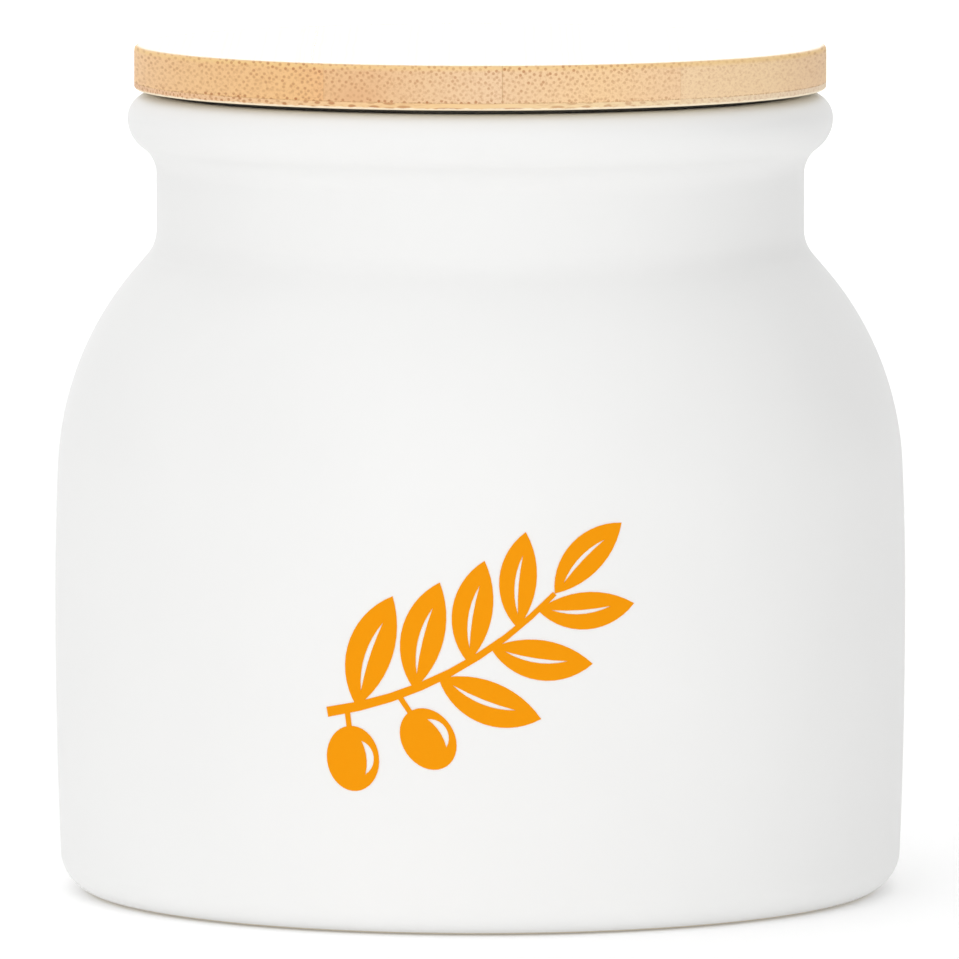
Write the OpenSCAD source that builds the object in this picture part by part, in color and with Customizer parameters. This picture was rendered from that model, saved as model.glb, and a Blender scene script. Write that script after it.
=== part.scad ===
// Storage jar with a rolled rim and a glued bamboo lid whose plug carries a silicone seal.
// Millimetres, +Z up. The axis of the jar is the Z axis, it stands on Z = 0 and its printed front faces -Y.

/* [Stoneware body] */
// Height from the table to the crest of the rim
jar_h = 122.1; // [120:0.1:128]
// Widest diameter, at the belly
belly_d = 130.2; // [128:0.1:133]
// Height of the widest place
belly_h = 44; // [38:0.5:48]
// Thickness of the wall
wall_t = 4.5; // [4:0.1:5]
// Thickness of the floor, over the recess under the jar
floor_t = 4.6; // [4:0.1:7]

/* [Side and shoulder] */
// Radius of the side's slight bow below the belly
low_side_r = 1000; // [600:50:2000]
// Radius of the side's slight bow above the belly
side_r = 490; // [400:10:800]
// Lean of the side where it turns into the shoulder, degrees from upright
side_lean = 2.5; // [1.5:0.1:3.5]
// Radius of the shoulder
shoulder_r = 48.7; // [46:0.1:50]
// Lean of the shoulder's steepest part, degrees from upright
shoulder_lean = 40.7; // [39:0.1:43]

/* [Neck and rim] */
// Outer diameter of the upright neck
neck_d = 99; // [98:0.1:100]
// Radius of the hollow between shoulder and neck
neck_fillet = 6.2; // [4:0.1:8]
// Outer diameter of the rolled rim
rim_d = 107.8; // [106:0.1:109]
// Radius of the rim's upper outer edge
rim_round = 3.8; // [2.5:0.1:4]
// Radius of the rim's belly, below that edge
rim_bulge = 5.5; // [4:0.1:6]
// How far the rim's underside turns in towards the neck, degrees
rim_undercut = 54.3; // [50:0.1:60]
// Radius of the rim's inner edge, at the mouth
mouth_round = 3; // [1.5:0.1:3.5]

/* [Foot] */
// Radius of the rounded edge that the side ends in
foot_round = 6; // [4:0.1:8]
// Width of the flat ring that the jar stands on
foot_ring_w = 6; // [4:0.5:9]
// Depth of the recess inside that ring
foot_recess = 1.5; // [1:0.1:2.5]

/* [Bamboo lid] */
// Diameter of the lid
lid_d = 105.7; // [104:0.1:108]
// Thickness of the lid's edge, as seen from the side
lid_t = 6.7; // [6:0.1:9]
// Gap between the rim's crest and the underside of the lid
lid_gap = 0.75; // [0.7:0.05:1.5]
// Radius of the lid's upper edge
lid_round = 0.85; // [0.3:0.05:1.5]
// Radius of the lid's lower edge
lid_low_round = 0.4; // [0.2:0.05:0.8]
// Thickness of the cross ply that shows under the glue line of the lid's edge
cross_lip_t = 1.05; // [0.9:0.05:1.5]
// Width of one glued slat
slat_w = 26.7; // [24:0.1:28]
// Where the first joint between the lid's slats lies, left of the axis
first_joint = 23.4; // [18:0.1:28]

/* [Plug and seal] */
// Diameter of the plug under the lid
plug_d = 84; // [82:0.1:85]
// Height of the plug, below the lid's underside
plug_h = 10.6; // [9.6:0.1:14]
// Thickness of the slats in the plug's end face
plug_face_t = 5; // [3:0.1:5.5]
// Radius of the plug's lower edge
plug_round = 1; // [0.5:0.1:2]
// Diameter of the seal's flange, which lies between lid and rim
flange_d = 98; // [94:0.5:101]
// Thickness of that flange
flange_t = 0.6; // [0.4:0.05:0.65]
// Clearance that the seal's lips leave in the neck
lip_gap = 0.2; // [0.1:0.05:0.4]

/* [Front print] */
// Height of the print's middle
print_h = 41.6; // [38:0.1:46]
// Thickness of the fired print
print_t = 0.1; // [0.05:0.01:0.3]
// Length of the largest leaf of the printed sprig
leaf_l = 17.5; // [14:0.5:18]
// Width of the largest leaf
leaf_w = 6.8; // [5:0.1:7.5]
// Length of one printed olive
olive_l = 9.8; // [8:0.1:11]
// Width of one printed olive
olive_w = 7.8; // [6:0.1:9]

/* [Hidden] */

// Largest gap between a round outline and the chords that draw it, on the body and on the print
chord_gap = 0.012;
print_chord_gap = 0.02;
// Reach of a cutting block beyond the piece that it cuts
past = 1;

belly_r = belly_d / 2;
neck_r = neck_d / 2;
bore_r = neck_r - wall_t;
rim_r = rim_d / 2;
floor_z = foot_recess + floor_t;
// Radius of the hollow corner between the cavity's floor and side
cavity_round = 12;

// Lean of the side where it meets the foot, on the outside and in the cavity
low_lean = asin((belly_h - foot_round) / (low_side_r - foot_round));
cavity_lean = asin((belly_h - floor_z - cavity_round) / (low_side_r - wall_t - cavity_round));
foot_r = belly_r - low_side_r * (1 - cos(low_lean)) - foot_round * cos(low_lean);
floor_r = belly_r - wall_t - (low_side_r - wall_t) * (1 - cos(cavity_lean)) - cavity_round * cos(cavity_lean);
ring_in_r = foot_r - foot_ring_w;

// The shoulder's straight run closes the sum of radii from belly to neck
shoulder_run = (belly_r - neck_r - side_r * (1 - cos(side_lean))
                - shoulder_r * (cos(side_lean) - cos(shoulder_lean))
                - neck_fillet * (1 - cos(shoulder_lean))) / sin(shoulder_lean);
neck_low_z = belly_h + side_r * sin(side_lean) + shoulder_r * (sin(shoulder_lean) - sin(side_lean))
             + shoulder_run * cos(shoulder_lean) + neck_fillet * sin(shoulder_lean);
// The hollow under the rim closes the sum of radii from neck to rim, and the neck closes the sum of heights
rim_hollow = (rim_r - neck_r) / (1 - cos(rim_undercut)) - rim_bulge;
neck_high_z = jar_h - rim_round - (rim_bulge + rim_hollow) * sin(rim_undercut);

lid_r = lid_d / 2;
lid_z = jar_h + lid_gap;
lid_top_z = lid_z + lid_t;
glue_z = lid_z + cross_lip_t;
lid_joints = [for (i = [0:2]) i * slat_w - first_joint];

plug_r = plug_d / 2;
plug_z = lid_z - plug_h;
plug_glue_z = plug_z + plug_face_t;
// The plug's end face comes from the board's other outer ply, whose joints lie elsewhere
plug_joints = [for (i = [0:2]) i * slat_w - slat_w * 0.8];

flange_r = flange_d / 2;
lip_r = bore_r - lip_gap;
sleeve_t = 1.2;
sleeve_h = 5.4;
lip_depths = [1.9, 4.4]; // below the lid
lip_root_t = 1;
lip_tip_t = 0.5;
lip_rise = 0.7;
bead_depth = 0.7;
bead_top = 2.4; // below the lid
bead_h = 1.4;

bamboo = "#EBC99B";
print_colour = "#F69F00";

// Points in the opposite order
function reversed(pts) = [for (i = [len(pts) - 1:-1:0]) pts[i]];

// Degrees that one chord may span on a round of radius r
function chord_step(r, gap = chord_gap) = 2 * acos(1 - gap / abs(r));

// A bend that starts at p, where the surface faces a degrees above level, and ends where it faces b.
// A radius above 0 bulges out, and one below 0 is hollow.
function bend(p, r, a, b) =
    let (n = max(1, ceil(abs(b - a) / chord_step(r))), c = p - r * [cos(a), sin(a)])
    [for (i = [1:n]) let (t = a + (b - a) * i / n) c + r * [cos(t), sin(t)]];

// Follows stretches up an outline from p: each is [radius, facing at its end], or [0, length] where straight
function follow(p, a, stretches, i = 0) =
    i == len(stretches) ? [] :
    let (s = stretches[i],
         straight = s[0] == 0,
         pts = straight ? [p + s[1] * [-sin(a), cos(a)]] : bend(p, s[0], a, s[1]))
    concat(pts, follow(pts[len(pts) - 1], straight ? a : s[1], stretches, i + 1));

// The body's outer face, from the flat of the foot to the crest of the rim
function outer_face() = concat([[foot_r, 0]], follow([foot_r, 0], -90, [
    [foot_round, -low_lean],
    [low_side_r, 0],
    [side_r, side_lean],
    [shoulder_r, shoulder_lean],
    [0, shoulder_run],
    [-neck_fillet, 0],
    [0, neck_high_z - neck_low_z],
    [-rim_hollow, -rim_undercut],
    [rim_bulge, 0],
    [rim_round, 90]]));

// The body's inner face, from the flat of the floor to the mouth
function inner_face() = concat([[floor_r, floor_z]], follow([floor_r, floor_z], -90, [
    [cavity_round, -cavity_lean],
    [low_side_r - wall_t, 0],
    [side_r - wall_t, side_lean],
    [shoulder_r - wall_t, shoulder_lean],
    [0, shoulder_run],
    [-neck_fillet - wall_t, 0],
    [0, jar_h - mouth_round - neck_low_z],
    [-mouth_round, -90]]));

// The underside, from the axis over the recess to the inner edge of the foot's flat ring
function underside() =
    concat([[0, foot_recess]], reversed(bend([ring_in_r, 0], foot_recess, 0, 90)), [[ring_in_r, 0]]);

// The side of the body between foot and shoulder, grown outwards by g
function side_face(g) =
    let (p = [belly_r - low_side_r, belly_h] + (low_side_r + g) * [cos(low_lean), -sin(low_lean)])
    concat([p], follow(p, -low_lean, [[low_side_r + g, 0], [side_r + g, side_lean]]));

module jar_body() {
    color("#F3F3F1")
        rotate_extrude()
            polygon(concat(underside(), outer_face(), reversed(inner_face()), [[0, floor_z]]));
}

// The print follows the side of the body as a thin skin, cut out by the sprig
module front_print() {
    color(print_colour)
        intersection() {
            rotate_extrude() polygon(concat(side_face(0), reversed(side_face(print_t))));
            translate([0, 0, print_h])
                rotate([90, 0, 0])
                    linear_extrude(height = belly_d) sprig();
        }
}

// The sprig's stem: the radius and length of its bow, its width at the foot and its tilt
stem_r = 62;
stem_l = 39;
stem_w = 1.5;
stem_tilt = 10;
// From the sprig's middle to the foot of its stem
stem_foot = [-22.8, -7.9];
// Along each side of the stem, a leaf follows the one before it at this distance, smaller and less spread
leaf_pitch = 9;
leaf_shrink = 0.06;
leaf_fold = 4;
tip_leaf_size = 0.82;
// Share of a leaf's width that lies on its fuller side
leaf_belly = 0.6;
// Length of a leaf's open vein, as a share of the leaf's, and the bows of its two edges, as shares of the width
vein_share = 0.62;
vein_bows = [0.16, 0.05];
stalk_w = 0.8;
// The same for the open glint on an olive
glint_share = 0.52;
glint_bows = [0.2, 0.06];

// An arc from [0, 0] to [l, 0] that rises s above its chord, or dips where s is below 0
function bow(l, s) =
    let (r = (l * l / 4 + s * s) / (2 * abs(s)),
         half = asin(l / 2 / r),
         n = ceil(2 * half / chord_step(r, print_chord_gap)))
    [for (i = [0:n]) let (t = half * (2 * i / n - 1)) [l / 2 + r * sin(t), sign(s) * (r * cos(t) - r + abs(s))]];

// What lies between two such arcs over one chord
module between_bows(l, high, low) {
    polygon(concat(bow(l, high), reversed(bow(l, low))));
}

// One edge of the stem, at k half-widths to its left: the stem narrows to half its width at the tip
function stem_edge(k) =
    [for (i = [0:8])
        let (a = i / 8 * stem_l / stem_r * 180 / PI, w = stem_w * (1 - i / 16), r = stem_r - k * w / 2)
        [r * sin(a), stem_r - r * cos(a)]];

// Puts its children on the stem, s along it from the foot, turned to face along it
module on_stem(s) {
    a = s / stem_r * 180 / PI;
    translate([stem_r * sin(a), stem_r * (1 - cos(a))]) rotate(a) children();
}

// A leaf at the given share of the largest one's size, from its stalk at [0, 0], with its vein left open
module leaf(size) {
    l = size * leaf_l;
    w = size * leaf_w;
    difference() {
        between_bows(l, leaf_belly * w, (leaf_belly - 1) * w);
        translate([0.14 * l, 0.02 * w]) between_bows(vein_share * l, vein_bows[0] * w, vein_bows[1] * w);
    }
}

// Leaves along one side of the stem, side 1 above it and -1 below. Place 0 is the lowest on its side.
module leaf_row(side, first, spread, places) {
    for (i = places)
        on_stem(first + leaf_pitch * i)
            mirror([0, side < 0 ? 1 : 0])
                rotate(spread - leaf_fold * i) leaf(1 - leaf_shrink * i);
}

// An olive that hangs from the stem on a stalk
module olive(along, angle, stalk) {
    glint_l = glint_share * olive_l;
    on_stem(along)
        rotate(angle) {
            translate([0, -stalk_w / 2]) square([stalk + stalk_w, stalk_w]);
            translate([stalk + olive_l / 2, 0])
                difference() {
                    polygon([for (t = [0:10:350]) [olive_l * cos(t), olive_w * sin(t)] / 2]);
                    translate([-glint_l / 2, glint_bows[0] * olive_w])
                        between_bows(glint_l, glint_bows[0] * olive_w, glint_bows[1] * olive_w);
                }
        }
}

module sprig() {
    translate(stem_foot)
        rotate(stem_tilt) {
            polygon(concat(stem_edge(-1), reversed(stem_edge(1))));
            leaf_row(side = 1, first = 4.5, spread = 58, places = [0:3]);
            leaf_row(side = -1, first = 8.5, spread = 52, places = [1:3]);
            on_stem(stem_l) leaf(tip_leaf_size);
            olive(along = 3, angle = -96, stalk = 2.6);
            olive(along = 11, angle = -76, stalk = 3);
        }
}

// Slat i of a round board: what lies between its two joints, the outermost slats reaching past the edge
module slat(i, joints, r) {
    from = i == 1 ? -r - past : joints[i - 2];
    to = i == 4 ? r + past : joints[i - 1];
    intersection() {
        children();
        translate([from, -r - past, 0]) cube([to - from, 2 * (r + past), lid_top_z + past]);
    }
}

module lid_top_slat(i) {
    color(bamboo)
        slat(i, lid_joints, lid_r)
            rotate_extrude()
                polygon(concat([[0, glue_z], [lid_r, glue_z], [lid_r, lid_top_z - lid_round]],
                               bend([lid_r, lid_top_z - lid_round], lid_round, 0, 90), [[0, lid_top_z]]));
}

// The board's middle ply: its upper part reaches the lid's edge and its lower part is turned down to the plug,
// with a groove for the seal's bead
module lid_cross_ply() {
    groove_z = lid_z - bead_top;
    low_edge = [lid_r - lid_low_round, lid_z];
    color(bamboo)
        rotate_extrude()
            polygon(concat([[0, plug_glue_z], [plug_r, plug_glue_z], [plug_r, groove_z - bead_h],
                            [plug_r - bead_depth, groove_z - bead_h], [plug_r - bead_depth, groove_z],
                            [plug_r, groove_z], [plug_r, lid_z], low_edge],
                           bend(low_edge, lid_low_round, -90, 0), [[lid_r, glue_z], [0, glue_z]]));
}

module plug_slat(i) {
    low_edge = [plug_r - plug_round, plug_z];
    color(bamboo)
        slat(i, plug_joints, plug_r)
            rotate_extrude()
                polygon(concat([[0, plug_z], low_edge], bend(low_edge, plug_round, -90, 0),
                               [[plug_r, plug_glue_z], [0, plug_glue_z]]));
}

// One lip of the seal, from its lower root over its raised tip to its upper root
function lip(depth) =
    let (z = lid_z - depth, r = plug_r + sleeve_t)
    [[r, z - lip_root_t], [lip_r, z - lip_root_t + lip_rise], [lip_r, z - lip_root_t + lip_rise + lip_tip_t], [r, z]];

// The silicone seal: a sleeve on the plug with a bead in the plug's groove, two lips and a flange under the lid
module seal_ring() {
    sleeve_r = plug_r + sleeve_t;
    bead_z = lid_z - bead_top;
    color("#E4E4DE")
        rotate_extrude()
            polygon(concat([[plug_r, lid_z - sleeve_h], [sleeve_r, lid_z - sleeve_h]],
                           lip(lip_depths[1]), lip(lip_depths[0]),
                           [[sleeve_r, lid_z - flange_t], [flange_r, lid_z - flange_t], [flange_r, lid_z],
                            [plug_r, lid_z], [plug_r, bead_z], [plug_r - bead_depth, bead_z],
                            [plug_r - bead_depth, bead_z - bead_h], [plug_r, bead_z - bead_h]]));
}

jar_body();
front_print();
lid_top_slat(1);  // lid_top_slat_1
lid_top_slat(2);  // lid_top_slat_2
lid_top_slat(3);  // lid_top_slat_3
lid_top_slat(4);  // lid_top_slat_4
lid_cross_ply();
plug_slat(1);  // plug_slat_1
plug_slat(2);  // plug_slat_2
plug_slat(3);  // plug_slat_3
plug_slat(4);  // plug_slat_4
seal_ring();
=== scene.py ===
"""A stoneware storage jar with a glued bamboo lid and a silicone seal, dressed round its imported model."""

from __future__ import annotations

import logging
import math
from dataclasses import dataclass, field
from enum import Enum

import bmesh
import bpy
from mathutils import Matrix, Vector

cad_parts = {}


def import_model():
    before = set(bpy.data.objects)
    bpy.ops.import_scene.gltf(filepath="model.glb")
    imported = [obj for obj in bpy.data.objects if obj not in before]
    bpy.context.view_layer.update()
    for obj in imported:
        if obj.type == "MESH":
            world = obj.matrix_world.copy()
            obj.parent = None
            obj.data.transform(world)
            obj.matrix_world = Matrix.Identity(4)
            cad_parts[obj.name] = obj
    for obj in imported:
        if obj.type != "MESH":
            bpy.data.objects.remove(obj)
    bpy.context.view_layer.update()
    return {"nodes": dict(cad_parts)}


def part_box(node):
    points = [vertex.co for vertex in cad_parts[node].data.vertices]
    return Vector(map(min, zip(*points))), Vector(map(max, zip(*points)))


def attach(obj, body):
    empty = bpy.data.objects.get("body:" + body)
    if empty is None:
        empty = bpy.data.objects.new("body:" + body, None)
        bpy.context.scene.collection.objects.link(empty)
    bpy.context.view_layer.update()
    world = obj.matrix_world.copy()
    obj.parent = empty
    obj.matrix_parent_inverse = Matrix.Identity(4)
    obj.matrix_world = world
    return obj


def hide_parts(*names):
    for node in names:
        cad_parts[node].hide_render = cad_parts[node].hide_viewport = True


LOG = logging.getLogger("olive_jar")
MM = 0.001
WHITE = "#FFFFFF"

Colour = tuple[float, float, float, float]
Strength = bpy.types.NodeSocket | float


def linear(hex_colour: str) -> Colour:
    """Turns an sRGB hex colour into the linear values that a shader takes.

    Args:
        hex_colour: A colour such as "#F3F3F1".

    Returns:
        Red, green, blue and a full alpha.
    """

    def channel(start: int) -> float:
        """One channel, from its two hex digits."""
        value = int(hex_colour[start : start + 2], 16) / 255
        return value / 12.92 if value <= 0.04045 else ((value + 0.055) / 1.055) ** 2.4

    return channel(1), channel(3), channel(5), 1.0


def grey(value: float) -> Colour:
    """A linear grey, for a ramp that carries a strength and not a colour."""
    return value, value, value, 1.0


def fill(tree: bpy.types.NodeTree, node: bpy.types.Node, sockets: dict) -> None:
    """Links or sets a node's inputs.

    Args:
        tree: The node tree that the node is in.
        node: The node whose inputs are filled.
        sockets: An output socket to link, or a constant to set, for each input's name or number.
    """
    for key, value in sockets.items():
        if isinstance(value, bpy.types.NodeSocket):
            tree.links.new(value, node.inputs[key])
        else:
            node.inputs[key].default_value = value


def add_node(
    tree: bpy.types.NodeTree,
    kind: str,
    sockets: dict | None = None,
    stops: tuple[tuple[float, Colour], ...] = (),
    **settings: object,
) -> bpy.types.Node:
    """Adds a shader node with its settings, links and colour stops.

    Args:
        tree: The node tree to add to.
        kind: The node's type, without its ShaderNode prefix.
        sockets: What to link or set on its inputs.
        stops: The places and colours of a colour ramp.
        settings: The node's own properties.

    Returns:
        The new node.
    """
    node = tree.nodes.new(f"ShaderNode{kind}")
    for name, value in settings.items():
        setattr(node, name, value)
    if stops:
        elements = node.color_ramp.elements
        elements[0].position, elements[1].position = stops[0][0], stops[-1][0]
        for place, _ in stops[1:-1]:
            elements.new(place)
        for element, (_, colour) in zip(elements, stops):
            element.color = colour
    fill(tree, node, sockets or {})
    return node


@dataclass
class Paint:
    """A surface's colour, laid on coat by coat in its material's node tree."""

    tree: bpy.types.NodeTree
    colour: bpy.types.NodeSocket | Colour

    def weakened(self, strength: Strength, *shares: Strength) -> Strength:
        """Takes a mark's strength down by each of the shares in turn.

        Args:
            strength: The mark's strength.
            shares: Sockets or numbers from 0 to 1.

        Returns:
            What is left of the strength.
        """
        for share in shares:
            strength = add_node(self.tree, "Math", {0: strength, 1: share}, operation="MULTIPLY").outputs[0]
        return strength

    def fade(self, value: Strength, start: float, end: float, *shares: Strength) -> Strength:
        """Tells how strongly a mark shows that fades in smoothly along a value.

        Args:
            value: What the mark follows, such as a height.
            start: Where the mark begins to show.
            end: Where it shows fully. It may lie below the start.
            shares: What else weakens it.

        Returns:
            The mark's strength.
        """
        low, high, first, last = (start, end, 0.0, 1.0) if start < end else (end, start, 1.0, 0.0)
        shown = add_node(
            self.tree,
            "MapRange",
            {"Value": value, "From Min": low, "From Max": high, "To Min": first, "To Max": last},
            interpolation_type="SMOOTHSTEP",
        )
        return self.weakened(shown.outputs["Result"], *shares)

    def lay(self, over: bpy.types.NodeSocket | str, strength: Strength, *shares: Strength) -> None:
        """Lays another colour over the one that is there.

        Args:
            over: The new colour, in hex or as a socket.
            strength: How well it covers.
            shares: What else weakens it.
        """
        colour = linear(over) if isinstance(over, str) else over
        cover = self.weakened(strength, *shares)
        coat = add_node(self.tree, "Mix", {0: cover, 6: self.colour, 7: colour}, data_type="RGBA")
        self.colour = coat.outputs[2]


@dataclass(frozen=True)
class Finish:
    """What every finish has: a name, and a principled surface that its own patterns feed."""

    name: str
    roughness: float
    ior: float

    def patterns(self, tree: bpy.types.NodeTree, place: bpy.types.NodeSocket) -> dict:
        """Makes the finish's own patterns. Each finish has its own version.

        Args:
            tree: The material's node tree.
            place: The point on the object, in metres.

        Returns:
            What goes into the surface, for each input's name.
        """
        raise NotImplementedError(self.name)

    def make(self) -> bpy.types.Material:
        """Makes the material.

        Returns:
            The material, for a piece to wear.
        """
        material = bpy.data.materials.new(self.name)
        material.use_nodes = True
        tree = material.node_tree
        place = add_node(tree, "TexCoord").outputs["Object"]
        sockets = {"Roughness": self.roughness, "IOR": self.ior, **self.patterns(tree, place)}
        fill(tree, tree.nodes["Principled BSDF"], sockets)
        return material


@dataclass(frozen=True)
class SatinGlazedStoneware(Finish):
    """Slip-cast stoneware under an opaque white satin glaze.

    The glaze gives a soft, wide sheen with a faint ripple, a few tiny iron specks that burn through it,
    and a bare matt foot ring, which is wiped clean so that the pot doesn't stick to the kiln's shelf.
    """

    glaze: str = "#F2F2F1"
    thick_glaze: str = "#EEEEED"
    speck: str = "#BDB4A6"
    bare_clay: str = "#E4DCCB"
    # The glaze lies thicker and thinner over a few centimetres
    drift: float = 28 * MM
    drift_detail: float = 2.0
    # It ripples every couple of millimetres, by a hundredth of one
    ripple: float = 2.2 * MM
    ripple_detail: float = 1.5
    ripple_depth: float = 0.012 * MM
    ripple_share: float = 0.5
    # Iron specks a quarter of a millimetre across, a few centimetres apart
    speck_spacing: float = 26 * MM
    speck_size: float = 0.28 * MM
    speck_strength: float = 0.7
    # The clay's sand, drawn at half a millimetre so that it shows
    sand: float = 0.5 * MM
    sand_detail: float = 3.0
    sand_strength: float = 0.25
    # The clay is bare up to this height, and the glaze closes over it a little higher
    bare_height: float = 0.35 * MM
    glazed_height: float = 0.56 * MM
    bare_roughness: float = 0.92

    def patterns(self, tree: bpy.types.NodeTree, place: bpy.types.NodeSocket) -> dict:
        """Makes the glaze, with the clay bare where the foot meets the table.

        Args:
            tree: The material's node tree.
            place: The point on the object, in metres.

        Returns:
            What goes into the surface, for each input's name.
        """
        height = add_node(tree, "SeparateXYZ", {0: place}).outputs["Z"]
        glaze = Paint(tree, linear(self.glaze))
        drift = add_node(
            tree, "TexNoise", {"Vector": place, "Scale": 1 / self.drift, "Detail": self.drift_detail}
        )
        glaze.lay(self.thick_glaze, drift.outputs["Fac"])
        cells = add_node(tree, "TexVoronoi", {"Vector": place, "Scale": 1 / self.speck_spacing})
        reach = self.speck_size / self.speck_spacing
        specks = glaze.fade(cells.outputs["Distance"], reach, reach / 2, self.speck_strength)
        glaze.lay(self.speck, specks)

        clay = Paint(tree, linear(self.bare_clay))
        sand = add_node(
            tree, "TexNoise", {"Vector": place, "Scale": 1 / self.sand, "Detail": self.sand_detail}
        )
        clay.lay(self.speck, sand.outputs["Fac"], self.sand_strength)
        bare = glaze.fade(height, self.glazed_height, self.bare_height)
        glaze.lay(clay.colour, bare)

        rough = add_node(
            tree, "MapRange", {"Value": bare, "To Min": self.roughness, "To Max": self.bare_roughness}
        )
        ripple = add_node(
            tree, "TexNoise", {"Vector": place, "Scale": 1 / self.ripple, "Detail": self.ripple_detail}
        )
        bump = add_node(
            tree,
            "Bump",
            {
                "Height": ripple.outputs["Fac"],
                "Strength": self.ripple_share,
                "Distance": self.ripple_depth,
            },
        )
        return {
            "Base Color": glaze.colour,
            "Roughness": rough.outputs["Result"],
            "Normal": bump.outputs[0],
        }


@dataclass(frozen=True)
class FiredCeramicInk(Finish):
    """Screen-printed ceramic ink, fired onto the glaze: flat, opaque and duller than the glaze."""

    ink: str = "#F39700"
    thin_ink: str = "#F19B08"
    specular: float = 0.06
    # The ink thins in patches of a millimetre or two
    mottle: float = 1.6 * MM
    mottle_detail: float = 3.0
    mottle_strength: float = 0.6
    # The screen's mesh is about a third of a millimetre and leaves a few microns of relief
    screen: float = 0.35 * MM
    screen_depth: float = 0.006 * MM
    screen_share: float = 0.3

    def patterns(self, tree: bpy.types.NodeTree, place: bpy.types.NodeSocket) -> dict:
        """Makes the ink, with the faint mottle of the screen's mesh.

        Args:
            tree: The material's node tree.
            place: The point on the object, in metres.

        Returns:
            What goes into the surface, for each input's name.
        """
        mottle = add_node(
            tree, "TexNoise", {"Vector": place, "Scale": 1 / self.mottle, "Detail": self.mottle_detail}
        )
        ink = Paint(tree, linear(self.ink))
        ink.lay(self.thin_ink, mottle.outputs["Fac"], self.mottle_strength)
        screen = add_node(tree, "TexNoise", {"Vector": place, "Scale": 1 / self.screen})
        bump = add_node(
            tree,
            "Bump",
            {
                "Height": screen.outputs["Fac"],
                "Strength": self.screen_share,
                "Distance": self.screen_depth,
            },
        )
        return {
            "Base Color": ink.colour,
            "Specular IOR Level": self.specular,
            "Normal": bump.outputs[0],
        }


@dataclass(frozen=True)
class TranslucentSilicone(Finish):
    """Moulded food-grade silicone: milky where it is thick, with a dull skin that picks up fine dust.

    The flange, which is less thick, is clearer. Its colour is a painted grey-brown: painted shade of the
    gap round it, and the brown of the wood behind it painted in.
    """

    milky: str = "#E6E6E1"
    dusty: str = "#D8D7D0"
    # Painted shade of the gap, with the brown of the wood behind painted in, for the flange
    painted_gap_shade: str = "#8A8276"
    # Sleeve and lips reach out to the first radius, and the flange is fully clear and fully painted with
    # shade from the second
    thick_to: float = 45.2 * MM
    thin_from: float = 47 * MM
    thick_clarity: float = 0.25
    thin_clarity: float = 0.75
    # Dust gathers in patches of a few millimetres
    cloud: float = 3.0 * MM
    cloud_detail: float = 3.0
    # The mould's grain is drawn at 0.4 mm so that it shows
    skin: float = 0.4 * MM
    skin_depth: float = 0.01 * MM
    skin_share: float = 0.3

    def patterns(self, tree: bpy.types.NodeTree, place: bpy.types.NodeSocket) -> dict:
        """Makes the silicone, clearer and with painted shade towards the edge of the flange.

        Args:
            tree: The material's node tree.
            place: The point on the object, in metres.

        Returns:
            What goes into the surface, for each input's name.
        """
        cloud = add_node(
            tree, "TexNoise", {"Vector": place, "Scale": 1 / self.cloud, "Detail": self.cloud_detail}
        )
        silicone = Paint(tree, linear(self.milky))
        silicone.lay(self.dusty, cloud.outputs["Fac"])
        level = add_node(tree, "VectorMath", {0: place, 1: (1.0, 1.0, 0.0)}, operation="MULTIPLY")
        radius = add_node(tree, "VectorMath", {0: level.outputs[0]}, operation="LENGTH")
        flange = silicone.fade(radius.outputs["Value"], self.thick_to, self.thin_from)
        # Painted shade on the flange, in the gap under the lid
        silicone.lay(self.painted_gap_shade, flange)
        clear = add_node(
            tree, "MapRange", {"Value": flange, "To Min": self.thick_clarity, "To Max": self.thin_clarity}
        )
        skin = add_node(tree, "TexNoise", {"Vector": place, "Scale": 1 / self.skin})
        bump = add_node(
            tree,
            "Bump",
            {"Height": skin.outputs["Fac"], "Strength": self.skin_share, "Distance": self.skin_depth},
        )
        return {
            "Base Color": silicone.colour,
            "Transmission Weight": clear.outputs["Result"],
            "Normal": bump.outputs[0],
        }


class Grain(Enum):
    """Which way the fibres of a ply run: its end grain shows on the faces square to that."""

    FRONT_TO_BACK = "front to back"
    SIDE_TO_SIDE = "side to side"


@dataclass(frozen=True)
class PlyPlace:
    """Where a point lies in its slat or ply, as the values that the bamboo's patterns follow.

    Side is the way from the lid's left to its right and share the same from 0 to 1 over this slat. Section
    lies square to the fibres. Level is 1 on a face that lies level. Cells and fibres are the wood's own.
    """

    point: bpy.types.NodeSocket
    side: bpy.types.NodeSocket
    share: bpy.types.NodeSocket
    height: bpy.types.NodeSocket
    section: bpy.types.NodeSocket
    level: bpy.types.NodeSocket
    cells: bpy.types.NodeSocket
    fibres: bpy.types.NodeSocket


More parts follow.
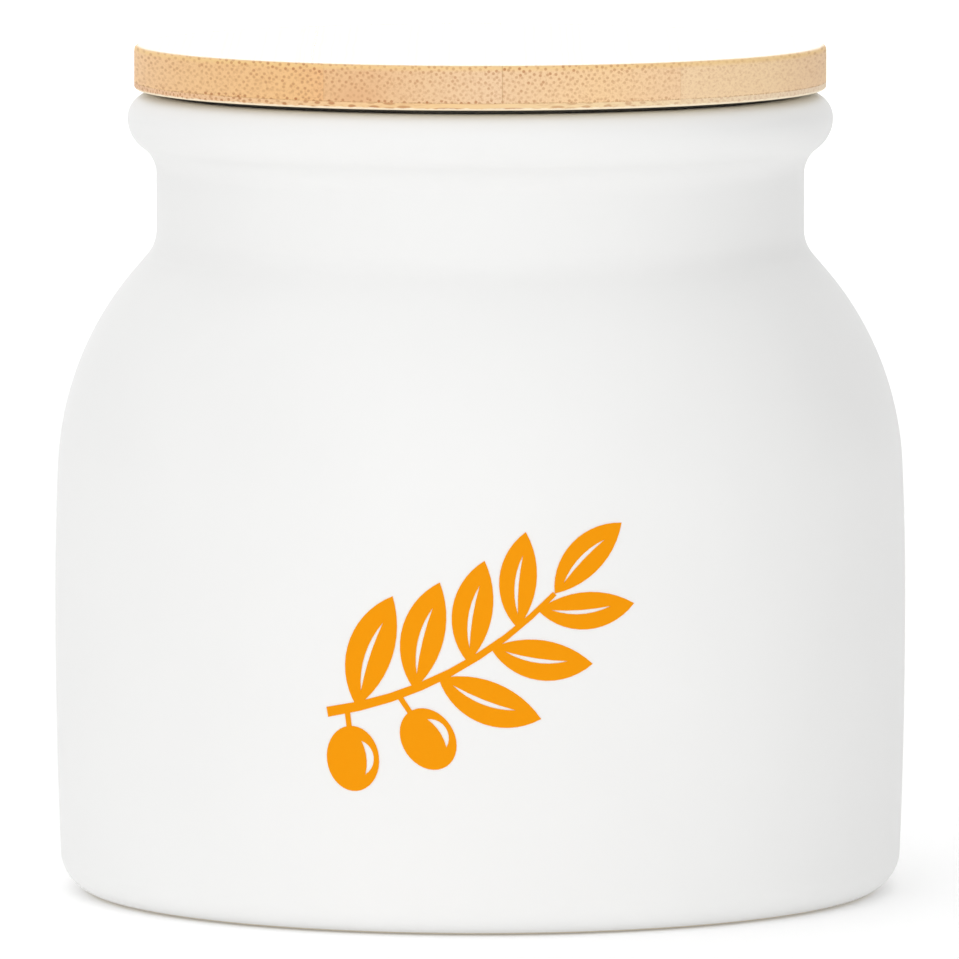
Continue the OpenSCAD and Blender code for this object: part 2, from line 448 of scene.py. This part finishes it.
@dataclass(frozen=True)
class LacqueredBamboo(Finish):
    """Laminated bamboo, sawn, sanded and coated with a satin lacquer.

    Its fibre bundles run the length of each slat. They show as rows of brown dots on the end grain and as
    fine lines along the face, denser and browner towards the top of the slat, which lay under the culm's
    skin.
    A lighter golden band along the top edge and a pale band on the cross ply's lower arris are painted
    highlights. The lacquer lies on the level faces only, because the sawn edges soak it up.
    """

    grain: Grain
    low: Vector
    high: Vector
    tints: tuple[tuple[float, str], ...]
    bundles: tuple[tuple[float, float], ...]
    seed: float
    bundle: str = "#B87642"
    # Slow waves in the fibres, a third of a millimetre deep over a couple of centimetres
    waver: float = 0.35 * MM
    waver_length: float = 22 * MM
    waver_detail: float = 1.0
    # Soft cells between the bundles
    cell: float = 0.3 * MM
    cell_detail: float = 2.0
    cell_roughness: float = 0.7
    pores: tuple[float, float] = (0.45, 0.75)
    pore_strength: float = 0.26
    # Fibres that run for centimetres, drawn at half a millimetre so that they show
    fibre: float = 0.45 * MM
    fibre_length: float = 30 * MM
    fibre_detail: float = 2.0
    dark_fibres: tuple[float, float] = (0.5, 0.8)
    fibre_strength: float = 0.25
    fibre_depth: float = 0.02 * MM
    fibre_share: float = 0.35
    # Bundles 0.8 mm apart in leaning rows. Their radius and soft edge are shares of that distance.
    bundle_spacing: float = 0.8 * MM
    bundle_rows: float = 0.7
    bundle_scatter: float = 0.62
    bundle_r: float = 0.19
    bundle_edge: float = 0.17
    # How strong the palest bundle is, and how much of them all a sanded level face keeps
    palest_bundle: float = 0.45
    sanded_bundles: float = 0.45
    # Share of the bundles' strength that is left at the foot of the slat, away from the culm's skin
    skin_share: float = 0.45
    # A row of darker bundles along the foot, between these heights above it
    foot_row: float = 0.0
    foot_span: tuple[float, float] = (0.8 * MM, 0.35 * MM)
    # A painted golden highlight along the top edge, by its depth below the top
    painted_top_highlight: str = "#F4CD8A"
    top_highlight_span: tuple[float, float] = (1.1 * MM, 0.3 * MM)
    top_highlight_strength: float = 0.7
    # A brown bruise between two shares of the width, with how far it fades out on each side
    bruised: str = "#E3B282"
    bruise: tuple[float, float] = (0.0, 0.0)
    bruise_fades: tuple[float, float] = (0.08, 0.1)
    bruise_heights: tuple[float, float] = (0.7, 0.15)
    bruise_strength: float = 0.8
    # Glue lines a fifth of a millimetre thick, broken where the wood took the glue in
    glue_line: str = "#B27F47"
    glue: float = 0.55
    glue_t: float = 0.22 * MM
    glue_core: float = 0.3
    unbroken: tuple[float, float] = (0.35, 0.6)
    joint_t: float = 0.16 * MM
    left_joint: float = 0.15
    right_joint: float = 0.15
    # A pale painted highlight on the ragged arris under the cross ply's visible part, with the depth of its
    # tears
    painted_arris_highlight: str = "#FFF3D6"
    arris: float = 0.0
    arris_depth: float = 1.05 * MM
    arris_span: tuple[float, float] = (0.14 * MM, -0.02 * MM)
    tear: float = 1.4 * MM
    tear_detail: float = 3.0
    tear_depth: float = 0.5 * MM
    # The lacquer, and how near level a face has to be to keep it
    lacquer_roughness: float = 0.14
    lacquered: tuple[float, float] = (0.8, 0.98)

    def find(self, paint: Paint, point: bpy.types.NodeSocket) -> PlyPlace:
        """Works out where a point lies in the ply.

        Args:
            paint: The colour that the patterns go into.
            point: The point on the object, in metres.

        Returns:
            The values that the patterns follow.
        """
        tree = paint.tree
        axes = add_node(tree, "SeparateXYZ", {0: point})
        side, height = axes.outputs["X"], axes.outputs["Z"]
        across, length = side, axes.outputs["Y"]
        if self.grain is Grain.SIDE_TO_SIDE:
            across, length = length, across
        share = add_node(
            tree, "MapRange", {"Value": side, "From Min": self.low.x, "From Max": self.high.x}
        )
        facing = add_node(tree, "SeparateXYZ", {0: add_node(tree, "NewGeometry").outputs["Normal"]})
        upright = add_node(tree, "Math", {0: facing.outputs["Z"]}, operation="ABSOLUTE")

        slow = add_node(
            tree,
            "TexNoise",
            {"Vector": point, "Scale": 1 / self.waver_length, "Detail": self.waver_detail},
        )
        shift = add_node(
            tree, "MapRange", {"Value": slow.outputs["Fac"], "To Min": -self.waver, "To Max": self.waver}
        )
        wavering = add_node(tree, "Math", {0: across, 1: shift.outputs["Result"]}, operation="ADD")
        section = add_node(tree, "CombineXYZ", {"X": wavering.outputs[0], "Y": height, "Z": self.seed})
        cells = add_node(
            tree,
            "TexNoise",
            {
                "Vector": section.outputs[0],
                "Scale": 1 / self.cell,
                "Detail": self.cell_detail,
                "Roughness": self.cell_roughness,
            },
        )
        run = add_node(tree, "CombineXYZ", {"X": wavering.outputs[0], "Y": length, "Z": height})
        drawn_out = add_node(
            tree,
            "VectorMath",
            {0: run.outputs[0], 1: (1 / self.fibre, 1 / self.fibre_length, 1 / self.fibre)},
            operation="MULTIPLY",
        )
        fibres = add_node(
            tree,
            "TexNoise",
            {"Vector": drawn_out.outputs[0], "Scale": 1.0, "Detail": self.fibre_detail},
        )
        return PlyPlace(
            point=point,
            side=side,
            share=share.outputs["Result"],
            height=height,
            section=section.outputs[0],
            level=paint.fade(upright.outputs[0], *self.lacquered),
            cells=cells.outputs["Fac"],
            fibres=fibres.outputs["Fac"],
        )

    def lay_bruise_and_top_highlight(self, paint: Paint, ply: PlyPlace) -> None:
        """Lays on the slat's bruise and a painted golden highlight along the top edge.

        Args:
            paint: The colour so far.
            ply: Where the point lies.
        """
        foot, top = self.low.z, self.high.z
        start, end = self.bruise
        if end > start:
            middle = (start + end) / 2
            before, after = self.bruise_fades
            paint.lay(
                self.bruised,
                paint.fade(ply.share, start - before, middle),
                paint.fade(ply.share, end + after, middle),
                paint.fade(ply.height, *(foot + rise * (top - foot) for rise in self.bruise_heights)),
                self.bruise_strength,
            )
        if self.grain is Grain.FRONT_TO_BACK:
            # Painted highlight: a lighter golden band along the top edge
            top_highlight = paint.fade(ply.height, *(top - depth for depth in self.top_highlight_span), self.top_highlight_strength)
            paint.lay(self.painted_top_highlight, top_highlight)

    def scatter_bundles(self, paint: Paint, ply: PlyPlace) -> None:
        """Lays on the fibre bundles.

        Args:
            paint: The colour so far.
            ply: Where the point lies.
        """
        tree = paint.tree
        density = add_node(
            tree,
            "ValToRGB",
            {"Fac": ply.share},
            stops=tuple((share, grey(strength)) for share, strength in self.bundles),
        )
        rise = add_node(
            tree,
            "MapRange",
            {
                "Value": ply.height,
                "From Min": self.low.z,
                "From Max": self.high.z,
                "To Min": self.skin_share,
                "To Max": 1.0,
            },
        )
        sanded = add_node(
            tree, "MapRange", {"Value": ply.level, "To Min": 1.0, "To Max": self.sanded_bundles}
        )
        strength = paint.weakened(
            density.outputs["Color"], rise.outputs["Result"], sanded.outputs["Result"]
        )
        if self.foot_row > 0:
            span = (self.low.z + height for height in self.foot_span)
            row = paint.fade(ply.height, *span, self.foot_row)
            strength = add_node(tree, "Math", {0: strength, 1: row}, operation="MAXIMUM").outputs[0]

        rows = add_node(
            tree,
            "VectorRotate",
            {"Vector": ply.section, "Angle": self.bundle_rows},
            rotation_type="Z_AXIS",
        )
        bundle = add_node(
            tree,
            "TexVoronoi",
            {
                "Vector": rows.outputs[0],
                "Scale": 1 / self.bundle_spacing,
                "Randomness": self.bundle_scatter,
            },
            voronoi_dimensions="2D",
        )
        mixed = add_node(tree, "SeparateXYZ", {0: bundle.outputs["Color"]})
        uneven = add_node(
            tree, "MapRange", {"Value": mixed.outputs["X"], "To Min": self.palest_bundle, "To Max": 1.0}
        )
        dots = paint.fade(bundle.outputs["Distance"], self.bundle_r + self.bundle_edge, self.bundle_r)
        paint.lay(self.bundle, dots, uneven.outputs["Result"], strength)

    def draw_glue(self, paint: Paint, ply: PlyPlace) -> None:
        """Lays on the glue under the slat and in the joints beside it.

        Args:
            paint: The colour so far.
            ply: Where the point lies.
        """
        foot = self.low.z
        under = paint.fade(ply.height, foot + self.glue_t, foot + self.glue_core * self.glue_t)
        paint.lay(self.glue_line, under, self.glue, paint.fade(ply.cells, *self.unbroken))
        for edge, inwards, strength in (
            (self.low.x, self.joint_t, self.left_joint),
            (self.high.x, -self.joint_t, self.right_joint),
        ):
            paint.lay(self.glue_line, paint.fade(ply.side, edge + inwards, edge, strength))

    def paint_arris_highlight(self, paint: Paint, ply: PlyPlace) -> None:
        """Lays on a painted highlight on the ragged arris below the ply's part that shows at the lid's
        edge.

        Args:
            paint: The colour so far.
            ply: Where the point lies.
        """
        ragged = add_node(
            paint.tree,
            "TexNoise",
            {"Vector": ply.point, "Scale": 1 / self.tear, "Detail": self.tear_detail},
        )
        torn = add_node(
            paint.tree,
            "Math",
            {0: ragged.outputs["Fac"], 1: -self.tear_depth, 2: ply.height},
            operation="MULTIPLY_ADD",
        )
        edge = self.high.z - self.arris_depth
        # Painted highlight: a pale ragged band along the lower arris
        arris_highlight = paint.fade(torn.outputs[0], *(edge + rise for rise in self.arris_span), self.arris)
        paint.lay(self.painted_arris_highlight, arris_highlight)

    def patterns(self, tree: bpy.types.NodeTree, place: bpy.types.NodeSocket) -> dict:
        """Makes the bamboo of one slat or ply, from its own box in the frame.

        Args:
            tree: The material's node tree.
            place: The point on the object, in metres.

        Returns:
            What goes into the surface, for each input's name.
        """
        paint = Paint(tree, linear(self.tints[0][1]))
        ply = self.find(paint, place)
        tint = add_node(
            tree,
            "ValToRGB",
            {"Fac": ply.share},
            stops=tuple((share, linear(colour)) for share, colour in self.tints),
        )
        paint.colour = tint.outputs["Color"]
        paint.lay(self.bundle, paint.fade(ply.cells, *self.pores), self.pore_strength)
        paint.lay(self.bundle, paint.fade(ply.fibres, *self.dark_fibres), self.fibre_strength)
        self.lay_bruise_and_top_highlight(paint, ply)
        self.scatter_bundles(paint, ply)
        if self.grain is Grain.FRONT_TO_BACK:
            self.draw_glue(paint, ply)
        if self.arris > 0:
            self.paint_arris_highlight(paint, ply)
        bump = add_node(
            tree,
            "Bump",
            {"Height": ply.fibres, "Strength": self.fibre_share, "Distance": self.fibre_depth},
        )
        return {
            "Base Color": paint.colour,
            "Normal": bump.outputs[0],
            "Coat Weight": ply.level,
            "Coat Roughness": self.lacquer_roughness,
            "Coat IOR": self.ior,
        }


@dataclass(frozen=True)
class MattBackdropPaper(Finish):
    """Seamless white studio paper, dull and faintly aglow, so that it stays white behind the jar."""

    paper: str = "#FAFAFA"
    specular: float = 0.1
    glow: float = 0.15

    def patterns(self, tree: bpy.types.NodeTree, place: bpy.types.NodeSocket) -> dict:
        """Makes the paper, which is too smooth to have a pattern.

        Args:
            tree: The material's node tree, not used here.
            place: The point on the object, in metres, not used here.

        Returns:
            What goes into the surface, for each input's name.
        """
        return {
            "Base Color": linear(self.paper),
            "Specular IOR Level": self.specular,
            "Emission Color": linear(WHITE),
            "Emission Strength": self.glow,
        }


def dress(piece: bpy.types.Object, finish: Finish) -> None:
    """Gives a piece one finish all over.

    Args:
        piece: The object to dress.
        finish: What it wears.
    """
    piece.data.materials.clear()
    piece.data.materials.append(finish.make())


def to_piece(name: str, shell: bmesh.types.BMesh) -> bpy.types.Object:
    """Turns a finished bmesh into a smooth object of the scene, and frees it.

    Args:
        name: The object's name, and its mesh's.
        shell: The bmesh.

    Returns:
        The object, at the origin.
    """
    bmesh.ops.recalc_face_normals(shell, faces=shell.faces)
    mesh = bpy.data.meshes.new(name)
    shell.to_mesh(mesh)
    shell.free()
    mesh.shade_smooth()
    piece = bpy.data.objects.new(name, mesh)
    bpy.context.scene.collection.objects.link(piece)
    return piece


@dataclass
class WallSection:
    """A wall's outline, drawn into a bmesh stretch by stretch. Sizes are in millimetres.

    It lies in the plane of X and Z. Facing is the way that the surface looks, in degrees above level.
    """

    shell: bmesh.types.BMesh
    radius: float
    height: float
    facing: float
    chord_gap: float = 0.004
    tip: bmesh.types.BMVert = field(init=False)

    def __post_init__(self) -> None:
        """Sets down the starting point."""
        self.tip = self.shell.verts.new((self.radius * MM, 0.0, self.height * MM))

    def run(self, length: float) -> None:
        """Goes straight on, along the surface.

        Args:
            length: How far.
        """
        turn = math.radians(self.facing)
        step = length * MM * Vector((-math.sin(turn), 0.0, math.cos(turn)))
        self.tip = bmesh.ops.extrude_vert_indiv(self.shell, verts=[self.tip])["verts"][0]
        bmesh.ops.translate(self.shell, verts=[self.tip], vec=step)

    def bend(self, radius: float, facing: float) -> None:
        """Follows a round until the surface looks another way.

        Args:
            radius: The round's radius, below 0 where it is hollow.
            facing: The way that the surface looks at its end.
        """
        chord = 2 * math.degrees(math.acos(1 - self.chord_gap / abs(radius)))
        start = math.radians(self.facing)
        centre = self.tip.co - radius * MM * Vector((math.cos(start), 0.0, math.sin(start)))
        drawn = bmesh.ops.spin(
            self.shell,
            geom=[self.tip],
            cent=centre,
            axis=(0.0, -1.0, 0.0),
            angle=math.radians(facing - self.facing),
            steps=max(1, math.ceil(abs(facing - self.facing) / chord)),
        )
        self.tip = next(part for part in drawn["geom_last"] if isinstance(part, bmesh.types.BMVert))
        self.facing = facing


@dataclass
class JarBody:
    """The pot: foot ring, bowed side, full shoulder, upright neck and rolled rim. Sizes are in mm."""

    height: float = 122.1
    belly_r: float = 65.1
    belly_h: float = 44.0
    wall_t: float = 4.5
    floor_t: float = 4.6
    low_side_r: float = 1000.0
    side_r: float = 490.0
    side_lean: float = 2.5
    shoulder_r: float = 48.7
    shoulder_lean: float = 40.7
    neck_r: float = 49.5
    neck_fillet: float = 6.2
    rim_r: float = 53.9
    rim_round: float = 3.8
    rim_bulge: float = 5.5
    rim_undercut: float = 54.3
    mouth_round: float = 3.0
    foot_round: float = 6.0
    foot_ring_w: float = 6.0
    foot_recess: float = 1.5
    cavity_round: float = 12.0
    turns: int = 240
    merge_gap: float = 0.002
    crease_angle: float = 35.0

    def lean_at(self, foot_z: float, corner: float, wall: float) -> float:
        """Works out the side's lean where it meets a rounded corner.

        Args:
            foot_z: Height of the flat that the corner rises from.
            corner: Radius of the corner.
            wall: Depth of the face under the outer one.

        Returns:
            The lean, in degrees.
        """
        return math.degrees(math.asin((self.belly_h - foot_z - corner) / (self.low_side_r - wall - corner)))

    def foot_of(self, corner: float, wall: float, lean: float) -> float:
        """Works out the radius at which a rounded corner leaves the flat under it.

        Args:
            corner: Radius of the corner.
            wall: Depth of the face under the outer one.
            lean: The side's lean over the corner, in degrees.

        Returns:
            The radius.
        """
        side = self.low_side_r - wall
        tilt = math.cos(math.radians(lean))
        return self.belly_r - wall - side * (1 - tilt) - corner * tilt

    def shoulder_run(self) -> float:
        """Works out the shoulder's straight run, which closes the sum of radii from belly to neck.

        Returns:
            Its length.
        """
        lean, steep = math.radians(self.side_lean), math.radians(self.shoulder_lean)
        taken = (
            self.side_r * (1 - math.cos(lean))
            + self.shoulder_r * (math.cos(lean) - math.cos(steep))
            + self.neck_fillet * (1 - math.cos(steep))
        )
        return (self.belly_r - self.neck_r - taken) / math.sin(steep)

    def neck_low_z(self) -> float:
        """Works out where the neck turns upright.

        Returns:
            The height.
        """
        lean, steep = math.radians(self.side_lean), math.radians(self.shoulder_lean)
        return (
            self.belly_h
            + self.side_r * math.sin(lean)
            + self.shoulder_r * (math.sin(steep) - math.sin(lean))
            + self.shoulder_run() * math.cos(steep)
            + self.neck_fillet * math.sin(steep)
        )

    def outside(self, shell: bmesh.types.BMesh) -> WallSection:
        """Draws the outer face, from the axis over the recess to the crest of the rim.

        Args:
            shell: The bmesh to draw in.

        Returns:
            The outline, with its tip on the crest.
        """
        undercut = math.radians(self.rim_undercut)
        hollow = (self.rim_r - self.neck_r) / (1 - math.cos(undercut)) - self.rim_bulge
        neck_high_z = self.height - self.rim_round - (self.rim_bulge + hollow) * math.sin(undercut)
        lean = self.lean_at(0.0, self.foot_round, 0.0)
        ring_in = self.foot_of(self.foot_round, 0.0, lean) - self.foot_ring_w
        section = WallSection(shell, 0.0, self.foot_recess, facing=-90.0)
        section.run(ring_in - self.foot_recess)
        section.bend(-self.foot_recess, -180.0)
        # A sharp corner, from the recess to the flat ring
        section.facing = -90.0
        section.run(self.foot_ring_w)
        section.bend(self.foot_round, -lean)
        section.bend(self.low_side_r, 0.0)
        section.bend(self.side_r, self.side_lean)
        section.bend(self.shoulder_r, self.shoulder_lean)
        section.run(self.shoulder_run())
        section.bend(-self.neck_fillet, 0.0)
        section.run(neck_high_z - self.neck_low_z())
        section.bend(-hollow, -self.rim_undercut)
        section.bend(self.rim_bulge, 0.0)
        section.bend(self.rim_round, 90.0)
        return section

    def inside(self, shell: bmesh.types.BMesh) -> WallSection:
        """Draws the inner face, from the axis on the floor to the mouth.

        Args:
            shell: The bmesh to draw in.

        Returns:
            The outline, with its tip where the mouth meets the rim's crest.
        """
        floor_z = self.foot_recess + self.floor_t
        lean = self.lean_at(floor_z, self.cavity_round, self.wall_t)
        section = WallSection(shell, 0.0, floor_z, facing=-90.0)
        section.run(self.foot_of(self.cavity_round, self.wall_t, lean))
        section.bend(self.cavity_round, -lean)
        section.bend(self.low_side_r - self.wall_t, 0.0)
        section.bend(self.side_r - self.wall_t, self.side_lean)
        section.bend(self.shoulder_r - self.wall_t, self.shoulder_lean)
        section.run(self.shoulder_run())
        section.bend(-self.neck_fillet - self.wall_t, 0.0)
        section.run(self.height - self.mouth_round - self.neck_low_z())
        section.bend(-self.mouth_round, -90.0)
        return section

    def build(self) -> bpy.types.Object:
        """Turns the wall's whole section round the jar's axis.

        Returns:
            The pot, as one closed shell.
        """
        shell = bmesh.new()
        shell.edges.new((self.outside(shell).tip, self.inside(shell).tip))
        bmesh.ops.spin(
            shell,
            geom=[*shell.verts, *shell.edges],
            cent=(0.0, 0.0, 0.0),
            axis=(0.0, 0.0, 1.0),
            angle=math.tau,
            steps=self.turns,
            use_merge=True,
        )
        bmesh.ops.remove_doubles(shell, verts=shell.verts, dist=self.merge_gap * MM)
        pot = to_piece("stoneware_pot", shell)
        pot.data.set_sharp_from_angle(angle=math.radians(self.crease_angle))
        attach(pot, "jar")
        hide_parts("jar_body")
        return pot

    def make(self) -> None:
        """Builds the pot and glazes it."""
        pot = self.build()
        dress(pot, SatinGlazedStoneware("satin_glazed_stoneware", roughness=0.5, ior=1.5))
        LOG.info("pot: %d faces", len(pot.data.polygons))


@dataclass
class FrontPrint:
    """The fired sprig on the front."""

    node: bpy.types.Object

    def make(self) -> None:
        """Gives the print its ink."""
        dress(self.node, FiredCeramicInk("fired_ceramic_ink", roughness=0.5, ior=1.5))
        LOG.info("print: dressed")


@dataclass
class BambooLid:
    """The lid's board: four slats, a cross ply and the four slats of the plug's end face."""

    nodes: dict[str, bpy.types.Object]
    # Name, tint and strength of the bundles for each slat of the plug's end face, from left to right
    plug_slats: tuple[tuple[str, str, float], ...] = (
        ("bamboo_plug_pale", "#EFCBA0", 0.6),
        ("bamboo_plug_golden", "#F0C48F", 0.8),
        ("bamboo_plug_plain", "#EFCFA6", 0.4),
        ("bamboo_plug_brown", "#EBC194", 0.9),
    )
    first_plug_seed: float = 6.0

    def board(self, node: str, name: str, grain: Grain = Grain.FRONT_TO_BACK, **looks: object) -> None:
        """Dresses one slat or ply in bamboo of its own.

        Args:
            node: The CAD node.
            name: The material's name.
            grain: Which way its fibres run.
            looks: What sets this bamboo apart from the others.
        """
        low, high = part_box(node)
        dress(
            self.nodes[node],
            LacqueredBamboo(name, roughness=0.6, ior=1.5, grain=grain, low=low, high=high, **looks),
        )
        LOG.info("lid: %s dressed", node)

    def dress_top(self) -> None:
        """Dresses the four slats of the top, each with the tints and bundles of its end grain."""
        self.board(
            "lid_top_slat_1",
            "bamboo_golden",
            tints=((0.0, "#F3C894"), (0.3, "#F0C48D"), (0.85, "#EFC085"), (1.0, "#EEBC84")),
            bundles=((0.0, 0.6), (0.55, 0.75), (1.0, 1.0)),
            seed=1.0,
            foot_row=1.0,
        )
        self.board(
            "lid_top_slat_2",
            "bamboo_brown",
            tints=((0.0, "#EBBE8B"), (0.28, "#E9BD8D"), (0.6, "#EDC79A"), (1.0, "#F0CDA4")),
            bundles=((0.0, 0.8), (0.4, 0.65), (1.0, 0.75)),
            seed=2.0,
            foot_row=1.0,
            bruise=(0.06, 0.3),
            right_joint=0.5,
        )
        self.board(
            "lid_top_slat_3",
            "bamboo_pale",
            tints=((0.0, "#EFCBA0"), (0.55, "#F6D09E"), (1.0, "#F4CFA3")),
            bundles=((0.0, 1.0), (0.35, 0.85), (1.0, 0.45)),
            seed=3.0,
            foot_row=0.6,
            left_joint=0.45,
            skin_share=0.3,
        )
        self.board(
            "lid_top_slat_4",
            "bamboo_plain",
            tints=((0.0, "#F5D5AA"), (0.6, "#F6D6AA"), (0.85, "#F2CFA4"), (1.0, "#EFCA9D")),
            bundles=((0.0, 0.45), (0.4, 0.25), (1.0, 0.5)),
            seed=4.0,
            skin_share=0.0,
        )

    def dress_below(self) -> None:
        """Dresses the cross ply, which shows as a narrow line under the slats, and the plug's end face."""
        self.board(
            "lid_cross_ply",
            "bamboo_cross",
            grain=Grain.SIDE_TO_SIDE,
            tints=((0.0, "#EBC096"), (0.45, "#F1CB93"), (0.7, "#F2D6A9"), (1.0, "#F2DCC0")),
            bundles=((0.0, 1.0), (0.5, 0.8), (0.8, 0.35), (1.0, 0.2)),
            seed=5.0,
            skin_share=1.0,
            # With a painted highlight along its lower arris
            arris=0.8,
        )
        for i, (name, tint, strength) in enumerate(self.plug_slats):
            self.board(
                f"plug_slat_{i + 1}",
                name,
                tints=((0.0, tint), (1.0, tint)),
                bundles=((0.0, strength), (1.0, strength)),
                seed=self.first_plug_seed + i,
            )

    def make(self) -> None:
        """Dresses every slat and ply."""
        self.dress_top()
        self.dress_below()


@dataclass
class SealRing:
    """The silicone seal on the plug."""

    node: bpy.types.Object

    def make(self) -> None:
        """Gives the seal its silicone."""
        dress(self.node, TranslucentSilicone("translucent_silicone", roughness=0.45, ior=1.41))
        LOG.info("seal: dressed")


@dataclass(frozen=True)
class Softbox:
    """One square light. Lengths are in metres and power in watts."""

    name: str
    place: tuple[float, float, float]
    size: float
    power: float
    aim: tuple[float, float, float] = (0.0, 0.0, 0.07)

    def make(self) -> None:
        """Sets up the light."""
        data = bpy.data.lights.new(self.name, "AREA")
        data.shape = "SQUARE"
        data.size = self.size
        data.energy = self.power
        lamp = bpy.data.objects.new(self.name, data)
        lamp.location = self.place
        lamp.rotation_euler = (Vector(self.aim) - Vector(self.place)).to_track_quat("-Z", "Y").to_euler()
        bpy.context.scene.collection.objects.link(lamp)


@dataclass
class Studio:
    """A pale floor that sweeps up into a backdrop, soft light and the camera. Sizes are in metres."""

    floor_front: float = -4.0
    floor_back: float = 3.2
    sweep_r: float = 1.2
    sweep_top: float = 4.0
    sweep_steps: int = 24
    half_width: float = 4.0
    camera_place: tuple[float, float, float] = (-0.00012, -2.14, 0.265)
    camera_target: tuple[float, float, float] = (-0.00012, 0.0, 0.0627)
    lens: float = 527.0
    sensor: float = 36.0
    clip_end: float = 50.0
    # The sky dims towards the right and back, from a given nearness to the shade's direction on
    sky_open: float = 0.76
    sky_shaded: float = 0.04
    shade_direction: tuple[float, float, float] = (0.9, 0.43, 0.0)
    shade_start: float = 0.64
    lights: tuple[Softbox, ...] = (
        Softbox("overhead", place=(-0.2, -0.1, 1.6), size=1.4, power=4.0),
        Softbox("front", place=(-0.15, -2.2, 0.75), size=2.0, power=10.2),
        Softbox("backdrop", place=(0.0, 1.6, 2.2), size=1.2, power=40.0, aim=(0.0, 4.4, 0.9)),
    )

    def hang_paper(self) -> None:
        """Draws the floor, the sweep and the backdrop as one line, and pulls it out to a sheet."""
        sheet = bmesh.new()
        front, back = (
            sheet.verts.new((-self.half_width, y, 0.0)) for y in (self.floor_front, self.floor_back)
        )
        sheet.edges.new((front, back))
        drawn = bmesh.ops.spin(
            sheet,
            geom=[back],
            cent=(-self.half_width, self.floor_back, self.sweep_r),
            axis=(1.0, 0.0, 0.0),
            angle=math.pi / 2,
            steps=self.sweep_steps,
        )
        swept = [part for part in drawn["geom_last"] if isinstance(part, bmesh.types.BMVert)]
        top = bmesh.ops.extrude_vert_indiv(sheet, verts=swept)["verts"]
        bmesh.ops.translate(sheet, verts=top, vec=(0.0, 0.0, self.sweep_top - self.sweep_r))
        pulled = bmesh.ops.extrude_edge_only(sheet, edges=sheet.edges[:])
        moved = [part for part in pulled["geom"] if isinstance(part, bmesh.types.BMVert)]
        bmesh.ops.translate(sheet, verts=moved, vec=(2 * self.half_width, 0.0, 0.0))
        paper = to_piece("paper_sweep", sheet)
        dress(paper, MattBackdropPaper("white_backdrop_paper", roughness=0.9, ior=1.5))

    def open_sky(self) -> None:
        """Lights the room evenly, but for the shaded side."""
        world = bpy.data.worlds.new("studio")
        world.use_nodes = True
        tree = world.node_tree
        shade = add_node(
            tree,
            "VectorMath",
            {0: add_node(tree, "TexCoord").outputs["Generated"], 1: self.shade_direction},
            operation="DOT_PRODUCT",
        )
        strength = add_node(
            tree,
            "MapRange",
            {
                "Value": shade.outputs["Value"],
                "From Min": self.shade_start,
                "To Min": self.sky_open,
                "To Max": self.sky_shaded,
            },
        )
        sky = {"Color": linear(WHITE), "Strength": strength.outputs["Result"]}
        fill(tree, tree.nodes["Background"], sky)
        bpy.context.scene.world = world

    def set_camera(self) -> None:
        """Sets up the camera, at the photo's own angle and distance."""
        data = bpy.data.cameras.new("camera")
        data.lens = self.lens
        data.sensor_width = self.sensor
        data.clip_end = self.clip_end
        camera = bpy.data.objects.new("camera", data)
        camera.location = self.camera_place
        aim = Vector(self.camera_target) - Vector(self.camera_place)
        camera.rotation_euler = aim.to_track_quat("-Z", "Y").to_euler()
        bpy.context.scene.collection.objects.link(camera)
        bpy.context.scene.camera = camera

    def make(self) -> None:
        """Sets up the whole studio."""
        bpy.context.scene.view_settings.view_transform = "Standard"
        self.open_sky()
        self.hang_paper()
        for light in self.lights:
            light.make()
        self.set_camera()
        LOG.info("studio: ready")


def main() -> None:
    """Builds the studio, then the jar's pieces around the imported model."""
    logging.basicConfig(level=logging.INFO, format="%(name)s %(message)s")
    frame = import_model()
    nodes = frame["nodes"]
    Studio().make()
    JarBody().make()
    FrontPrint(nodes["front_print"]).make()
    BambooLid(nodes).make()
    SealRing(nodes["seal_ring"]).make()


if __name__ == "__main__":
    main()
